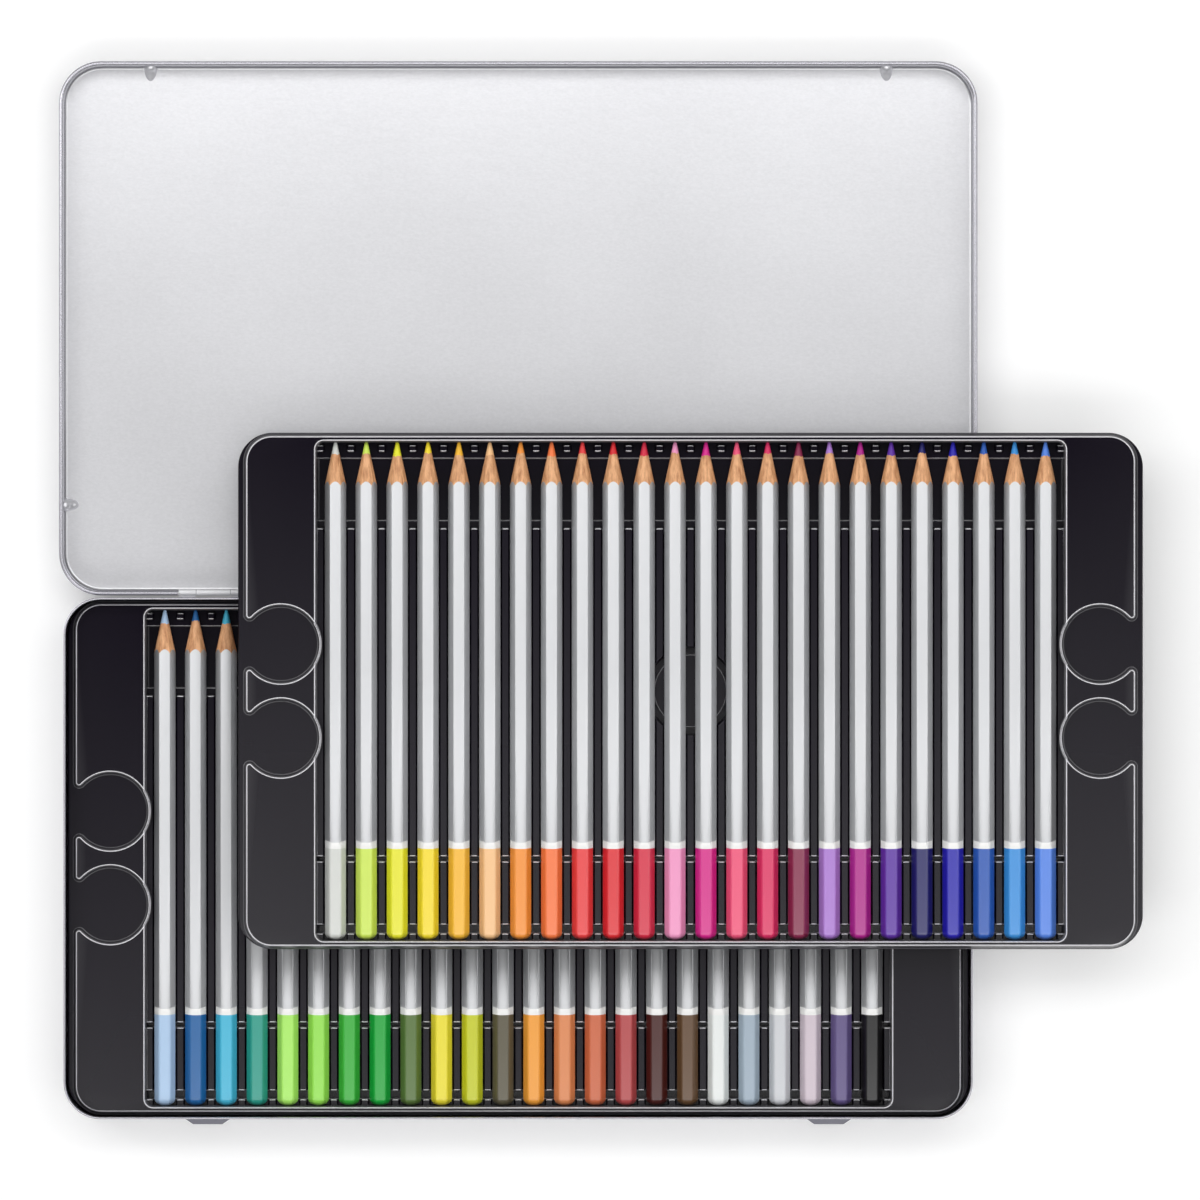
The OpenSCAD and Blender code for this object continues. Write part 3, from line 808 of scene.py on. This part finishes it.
def tray_form(x, y):
    """Height of the formed sheet at each place of the tray's plan, and how much painted highlight
    it gets there, which is most on the edges where the slope changes. The platform steps down to
    the flange and the finger wells, and the trough's wall steps down to its floor. In the
    trough the highest of bed, ribs and round pad counts, and a groove is kept round the pad."""
    out = platform_distance(x, y)
    height = np.interp(out, *PLATFORM_EDGE)
    rubbed = np.interp(out, PLATFORM_EDGE[0], EDGE_HIGHLIGHT)
    height -= np.interp(rect_distance(x, y, TRAY_W, TRAY_D, TRAY_CORNER_R), *LIP_EDGE)
    inwards = -rect_distance(x, y, TROUGH_W, TROUGH_D, TROUGH_CORNER_R)
    inwards = np.minimum(inwards, well_distance(x, y))
    wall = np.interp(inwards, *TROUGH_EDGE)
    wall_highlight = np.interp(inwards, TROUGH_EDGE[0], EDGE_HIGHLIGHT)
    v = y + PENCIL_LEN / 2
    inner = np.full(len(x), FLOOR_Z)
    inner_highlight = np.zeros(len(x))
    for start, stop in BEDS:
        away = np.maximum(start - v, v - stop)
        inner = np.maximum(inner, np.interp(away, *BED_EDGE))
        at_edge = BED_SHARE * np.interp(away, BED_EDGE[0], BED_HIGHLIGHT)
        inner_highlight = np.maximum(inner_highlight, at_edge)
    across = np.abs((x / PITCH + 0.5) % 1 - 0.5) * PITCH - RIB_W / 2 + RIB_CORNER_R
    for start, stop in RIB_ROWS:
        along = np.maximum(start - v, v - stop) + RIB_CORNER_R
        away = np.hypot(np.maximum(across, 0), np.maximum(along, 0))
        away += np.minimum(np.maximum(across, along), 0) - RIB_CORNER_R
        rib = np.interp(away, *RIB_EDGE)
        at_end = np.interp(away, RIB_EDGE[0], EDGE_HIGHLIGHT) * (along > across)
        inner_highlight = np.where(rib > inner, at_end, inner_highlight)
        inner = np.maximum(inner, rib)
    middle = np.hypot(x, y)
    inner = np.minimum(inner, np.interp(GROOVE_R + RIB_RUN - middle, *RIB_EDGE))
    at_pad = PAD_SHARE * np.interp(middle - PAD_R, BED_EDGE[0], BED_HIGHLIGHT)
    inner_highlight = np.where(middle < GROOVE_R + GROOVE_REACH, at_pad, inner_highlight)
    inner = np.maximum(inner, np.interp(middle - PAD_R, *BED_EDGE))
    rubbed = np.where(wall < height, wall_highlight, rubbed)
    rubbed = np.where(inner > wall, np.where(inner < height, inner_highlight, rubbed), rubbed)
    return np.minimum(height, np.maximum(wall, inner)), rubbed


def tray_lines():
    """The plan's level lines, as closed rings and open lines: every line along which the
    sheet's slope changes."""
    rings = [platform_ring(out) for out in PLATFORM_EDGE[0]]
    rings += [rect_ring(TRAY_W, TRAY_D, TRAY_CORNER_R, out, 20) for out in LIP_EDGE[0]]
    lines = []
    for inwards in TROUGH_EDGE[0]:
        ring, bulges = trough_ring(inwards)
        rings.append(ring)
        lines += bulges
    turn = np.linspace(0, 2 * math.pi, 73)[:-1]
    circle = np.stack([np.cos(turn), np.sin(turn)], axis=1)
    rings += [circle * (PAD_R + out) for out in BED_EDGE[0]]
    rings += [circle * (GROOVE_R + RIB_RUN - out) for out in RIB_EDGE[0]]
    half_w = TROUGH_W / 2
    butt = -PENCIL_LEN / 2
    for start, stop in BEDS:
        for out in BED_EDGE[0]:
            for v in (start - out, stop + out):
                if -END_GAP < v < TIP_WALL:
                    lines.append(np.array([(-half_w, butt + v), (half_w, butt + v)]))
    for start, stop in RIB_ROWS:
        centre_y = butt + (start + stop) / 2
        for n in range(PENCILS + 1):
            centre = np.array([(n - PENCILS / 2) * PITCH, centre_y])
            for out in RIB_EDGE[0]:
                rings.append(rect_ring(RIB_W, stop - start, RIB_CORNER_R, out, 3) + centre)
    return rings, lines


MERGE_DISTANCE = 1e-4


def tray_sheet():
    """The formed sheet's upper side in the tray's own frame: the plan is split into triangles
    between its level lines, and each point is raised by tray_form. With it come how much painted
    highlight each point gets, and its gloss, which falls from the front to the back."""
    rings, lines = tray_lines()
    plan = rings + lines
    edges, first = [], 0
    for number, run in enumerate(plan):
        here = first + np.arange(len(run))
        chain = np.stack([here, np.roll(here, -1)], axis=1)
        edges.append(chain if number < len(rings) else chain[:-1])
        first += len(run)
    places = [Vector(p) for p in np.concatenate(plan).tolist()]
    made = delaunay_2d_cdt(places, np.concatenate(edges).tolist(), [], 0, MERGE_DISTANCE, False)
    flat = np.array([tuple(p) for p in made[0]])
    height, rubbed = tray_form(flat[:, 0], flat[:, 1])
    gloss = np.clip(0.5 - flat[:, 1] / TRAY_D, 0, 1)
    return np.column_stack([flat, height]), [list(f) for f in made[2]], rubbed, gloss


def build_trays():
    """The same sheet for both trays, made solid and put where each tray's node stands."""
    points, faces, rubbed, gloss = tray_sheet()
    for name, stands_for, body, shine in (
        ("lower_tray_sheet", "lower_tray", "base", 0.75),
        ("upper_tray_sheet", "upper_tray", "lifted_tray", 1.0),
    ):
        low, high = corners(stands_for)
        place = np.array([(low[0] + high[0]) / 2, (low[1] + high[1]) / 2, low[2]])
        piece = make_piece(name, points + place, faces, [BLACK_PLASTIC], sharp=50)
        # the painted highlight along the formed edges, and the gloss, go to the material as attributes
        for label, values in (("rubbed", rubbed), ("gloss", shine * gloss)):
            attribute = piece.data.attributes.new(label, "FLOAT", "POINT")
            attribute.data.foreach_set("value", values.astype(np.float32))
        solid = piece.modifiers.new("film", "SOLIDIFY")
        solid.thickness, solid.offset = FILM_T * MM, -1
        weigh = piece.modifiers.new("flat_faces", "WEIGHTED_NORMAL")
        weigh.keep_sharp = True
        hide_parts(stands_for)
        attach(piece, body)


# ---------------------------------------------------------------- pencils

UPPER_SHADES = [
    ("white", (212, 214, 209)), ("pale_lime", (206, 232, 88)),
    ("lemon", (233, 231, 36)), ("sun_yellow", (246, 221, 38)),
    ("amber", (247, 188, 48)), ("apricot", (246, 196, 140)),
    ("orange", (245, 150, 52)), ("deep_orange", (247, 122, 62)),
    ("vermilion", (232, 58, 60)), ("scarlet", (222, 34, 44)),
    ("crimson", (214, 34, 66)), ("pink", (240, 152, 196)),
    ("magenta", (214, 22, 138)), ("rose", (238, 82, 122)),
    ("carmine", (220, 40, 98)), ("burgundy", (134, 30, 72)),
    ("lilac", (172, 122, 208)), ("red_violet", (176, 18, 138)),
    ("violet", (92, 40, 162)), ("night_blue", (18, 16, 98)),
    ("ultramarine", (30, 20, 172)), ("cobalt", (34, 88, 178)),
    ("sky_blue", (54, 146, 220)), ("cornflower", (84, 134, 228)),
]
LOWER_SHADES = [
    ("ice_blue", (172, 200, 230)), ("petrol_blue", (28, 98, 160)),
    ("turquoise", (70, 184, 216)), ("sea_green", (40, 156, 138)),
    ("spring_green", (172, 236, 104)), ("light_green", (152, 226, 84)),
    ("leaf_green", (54, 176, 58)), ("emerald", (14, 166, 58)),
    ("olive", (88, 116, 56)), ("mustard", (236, 222, 52)),
    ("chartreuse", (198, 204, 34)), ("warm_gray", (92, 86, 66)),
    ("ochre", (240, 160, 56)), ("sienna", (220, 136, 84)),
    ("terracotta", (204, 104, 66)), ("brick", (180, 72, 74)),
    ("dark_brown", (70, 20, 14)), ("umber", (98, 70, 44)),
    ("silver_white", (230, 234, 232)), ("blue_gray", (160, 176, 190)),
    ("light_gray", (204, 206, 210)), ("rose_gray", (206, 192, 202)),
    ("purple_gray", (96, 82, 132)), ("black", (14, 13, 14)),
]
FLAT_POINTS = 7
CORNER_POINTS = 4


def rounded_hexagon(flats, corner):
    """A hexagon with a flat side up, its corners rounded, as x and z across the pencil. Each
    of its six parts is a straight run of points on the flat, then an arc to the next flat."""
    half = flats / 2
    reach = (half - corner) / math.cos(math.pi / 6)
    run = (half - corner) * math.tan(math.pi / 6)
    parts = []
    for side in range(6):
        normal = math.radians(90 + 60 * side)
        n = np.array([math.cos(normal), math.sin(normal)])
        t = np.array([-n[1], n[0]])
        parts.append(n * half + np.outer(np.linspace(-run, run, FLAT_POINTS), t))
        centre = reach * np.array([math.cos(normal + math.pi / 6), math.sin(normal + math.pi / 6)])
        start = 90 + 60 * side
        parts.append(arc(centre, corner, start, start + 60, CORNER_POINTS + 2)[1:-1])
    return np.concatenate(parts)


def pencil_surface(core_r, wave):
    """A whole pencil along +Y from its blunt end. Each row of points is a cross section:
    the dome closes like an ellipse, the coat and the barrel are rounded hexagons, and
    where the sharpening cone is narrower than the hexagon, the cone's circle takes over.
    Each column meets the cone at its own height, which gives the scalloped edge. The bands
    are numbered like a pencil's finishes: coat, ring, barrel, cone and core."""
    coat = rounded_hexagon(FLATS_W + 2 * COAT_T, COAT_CORNER_R)
    barrel = rounded_hexagon(FLATS_W, BARREL_CORNER_R)
    columns = len(barrel)
    ones = np.ones(columns)
    rows, bands = [], []

    def add(section, y, band):
        """One more row: a cross section at one height, or at a height for each column."""
        rows.append(np.column_stack([section[:, 0], y * ones, section[:, 1]]))
        bands.append(band)

    def add_cone(y, band):
        """One more row on the sharpening cone."""
        add(way * (TIP_R + slope * (PENCIL_LEN - y))[:, None], y, band)

    for angle in np.radians(np.linspace(12, 90, 8)):
        add(coat * math.sin(angle), DOME_LEN * (1 - math.cos(angle)), 0)
    creep = COAT_CREEP * (coat[:, 0] / CORNER_REACH) ** 2
    add(coat, COAT_LEN - RING_LEN + RING_CREEP * creep, 1)
    add(coat, COAT_LEN - COAT_EDGE + creep, 1)
    add(barrel * UNDER_COAT, COAT_LEN - BARREL_EDGE + creep, 2)
    slope = (CORNER_REACH - TIP_R) / CONE_LEN
    radius = np.linalg.norm(barrel, axis=1)
    way = barrel / radius[:, None]
    meet = PENCIL_LEN - (radius - TIP_R) / slope
    meet = meet.min() + SCALLOP * (meet - meet.min())
    add(barrel, (COAT_LEN + PENCIL_LEN - CONE_LEN) / 2, 2)
    add(barrel, meet, 3)
    turn = np.arctan2(way[:, 1], way[:, 0])
    core_y = PENCIL_LEN - (core_r - TIP_R) / slope
    for waves, swell, phases in CORE_WAVES:
        core_y = core_y + swell * np.sin(waves * turn + phases * wave)
    for share in (0.33, 0.66):
        add_cone(meet * (1 - share) + core_y * share, 3)
    add_cone(core_y, 4)
    tip_y = PENCIL_LEN - TIP_R * TIP_ROUND
    for share in (0.5, 1.0):
        add_cone(core_y * (1 - share) + tip_y * share, 4)
    for angle in np.radians([30, 60]):
        section = way * TIP_R * TIP_SWELL * math.cos(angle)
        add(section, tip_y + TIP_R * TIP_ROUND * math.sin(angle), 4)
    count = len(rows)
    points = np.concatenate(rows + [[(0, 0, 0), (0, PENCIL_LEN, 0)]])
    faces = grid_faces(count, columns)
    kinds = np.repeat(bands[:-1], columns)
    faces += fan_faces(0, columns, count * columns, flip=False)
    faces += fan_faces((count - 1) * columns, columns, count * columns + 1, flip=True)
    kinds = np.concatenate([kinds, np.zeros(columns, int), np.full(columns, 4)])
    return points, faces, kinds


def build_pencils():
    """All pencils, each with a core of its own width, riding on the body that the record
    gives its node."""
    bodies = frame["record"]["behaviour"]["bodies"]
    for tray, shades, shine in (("upper", UPPER_SHADES, 1.0), ("lower", LOWER_SHADES, 0.4)):
        for n, (shade, colour) in enumerate(shades, start=1):
            stands_for = f"{tray}_pencil_{n:02d}"
            phase = n * CORE_R_PHASE + (1 if tray == "upper" else 0)
            core_r = CORE_R + CORE_R_SWING * math.sin(phase)
            points, faces, kinds = pencil_surface(core_r, n * WAVE_PHASE)
            low, high = corners(stands_for)
            place = np.array([(low[0] + high[0]) / 2, low[1], (low[2] + high[2]) / 2])
            coat = lacquer(shade, srgb(*colour), shine)
            core = core_pigment(shade, srgb(*colour))
            finishes = [coat, WHITE_RING, SILVER_PAINT, CEDAR, core]
            name = stands_for + "_finished"
            piece = make_piece(name, points + place, faces, finishes, kinds, sharp=55)
            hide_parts(stands_for)
            owner = next(body for body, nodes in bodies.items() if stands_for in nodes)
            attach(piece, owner)


# ---------------------------------------------------------------- camera, light and floor

# the middle and the width of the view on the floor, and the camera's height over it
VIEW_X = 28.8
VIEW_Y = 90.95
VIEW_W = 424.07
CAMERA_H = 4717.0
SENSOR_W = 36.0

# in metres, and as linear tones
CLIP_END = 20
FLOOR_HALF = 6.0
FLOOR_TONE = 0.82
FLOOR_LIFT = 0.22
SKY = [(0.6, 0.46), (0.98, 0.44)]  # heights in the sky from 0 to 1, and their tones
SKY_STRENGTH = 0.5


def build_camera():
    """A long lens straight above the tin."""
    data = bpy.data.cameras.new("camera")
    camera = bpy.data.objects.new("camera", data)
    bpy.context.scene.collection.objects.link(camera)
    camera.location = (VIEW_X * MM, VIEW_Y * MM, CAMERA_H * MM)
    data.sensor_width = SENSOR_W
    data.lens = SENSOR_W * CAMERA_H / VIEW_W
    data.clip_end = CLIP_END
    bpy.context.scene.camera = camera


def softbox(name, place, size, glow, aimed=True):
    """A rectangular lamp that shines as brightly as a surface of that glow, its place and size
    in metres. It is aimed at the middle of the view, or else straight down."""
    data = bpy.data.lights.new(name, "AREA")
    data.shape, data.size, data.size_y = "RECTANGLE", size[0], size[1]
    data.energy = glow * math.pi * size[0] * size[1]
    lamp = bpy.data.objects.new(name, data)
    bpy.context.scene.collection.objects.link(lamp)
    lamp.location = place
    if aimed:
        aim = Vector((VIEW_X * MM, VIEW_Y * MM, 0)) - Vector(place)
        lamp.rotation_euler = aim.to_track_quat("-Z", "Y").to_euler()


def build_studio():
    """A wide soft panel overhead, long lamps at the back and the front, and small ones at both
    sides, of which the left one is brighter. A dim sky fills in between them."""
    softbox("lamp_over", place=(0.03, 0.09, 1.4), size=(1.9, 1.0), glow=0.46, aimed=False)
    softbox("lamp_back", place=(0.03, 0.60, 1.0), size=(2.0, 0.5), glow=2.3, aimed=False)
    softbox("lamp_front", place=(0.03, -0.50, 1.0), size=(2.0, 0.5), glow=2.2, aimed=False)
    softbox("lamp_left", place=(-0.95, 0.35, 0.85), size=(0.35, 1.1), glow=2.0)
    softbox("lamp_right", place=(1.05, 0.10, 0.85), size=(0.35, 1.1), glow=1.3)
    world = bpy.data.worlds.new("studio")
    bpy.context.scene.world = world
    world.use_nodes = True
    tree = world.node_tree
    link = tree.links.new
    place = node(tree, "ShaderNodeTexCoord")
    parts = node(tree, "ShaderNodeSeparateXYZ")
    link(place.outputs["Generated"], parts.inputs[0])
    ramp = node(tree, "ShaderNodeValToRGB")
    for element, (position, tone) in zip(ramp.color_ramp.elements, SKY):
        element.position, element.color = position, (tone, tone, tone, 1)
    link(parts.outputs["Z"], ramp.inputs["Fac"])
    sky = tree.nodes["Background"]
    link(ramp.outputs["Color"], sky.inputs["Color"])
    sky.inputs["Strength"].default_value = SKY_STRENGTH


def build_floor():
    """A wide pale floor. Where the camera sees it, directly or mirrored, a little glow lifts it
    to white, and the shadow stays in the lit part."""
    material = bpy.data.materials.new("floor_paper")
    material.use_nodes = True
    tree = material.node_tree
    tree.nodes.clear()
    link = tree.links.new
    out = node(tree, "ShaderNodeOutputMaterial")
    matt = node(tree, "ShaderNodeBsdfDiffuse", in_Color=(FLOOR_TONE, FLOOR_TONE, FLOOR_TONE, 1))
    glow = node(tree, "ShaderNodeEmission", in_Color=(1, 1, 1, 1))
    path = node(tree, "ShaderNodeLightPath")
    seen = node(tree, "ShaderNodeMath", operation="MAXIMUM")
    lift = node(tree, "ShaderNodeMath", operation="MULTIPLY")
    lift.inputs[1].default_value = FLOOR_LIFT
    both = node(tree, "ShaderNodeAddShader")
    link(path.outputs["Is Camera Ray"], seen.inputs[0])
    link(path.outputs["Is Glossy Ray"], seen.inputs[1])
    link(seen.outputs[0], lift.inputs[0])
    link(lift.outputs[0], glow.inputs["Strength"])
    link(matt.outputs[0], both.inputs[0])
    link(glow.outputs[0], both.inputs[1])
    link(both.outputs[0], out.inputs["Surface"])
    mesh = bpy.data.meshes.new("floor")
    half = FLOOR_HALF
    square = [(-half, -half, 0), (half, -half, 0), (half, half, 0), (-half, half, 0)]
    mesh.from_pydata(square, [], [(0, 1, 2, 3)])
    mesh.materials.append(material)
    floor = bpy.data.objects.new("floor", mesh)
    bpy.context.scene.collection.objects.link(floor)


build_camera()
build_studio()
build_floor()
build_base()
build_lid()
build_hinges()
build_lugs()
build_pips()
build_trays()
build_pencils()

bpy.context.scene.view_settings.view_transform = "Standard"
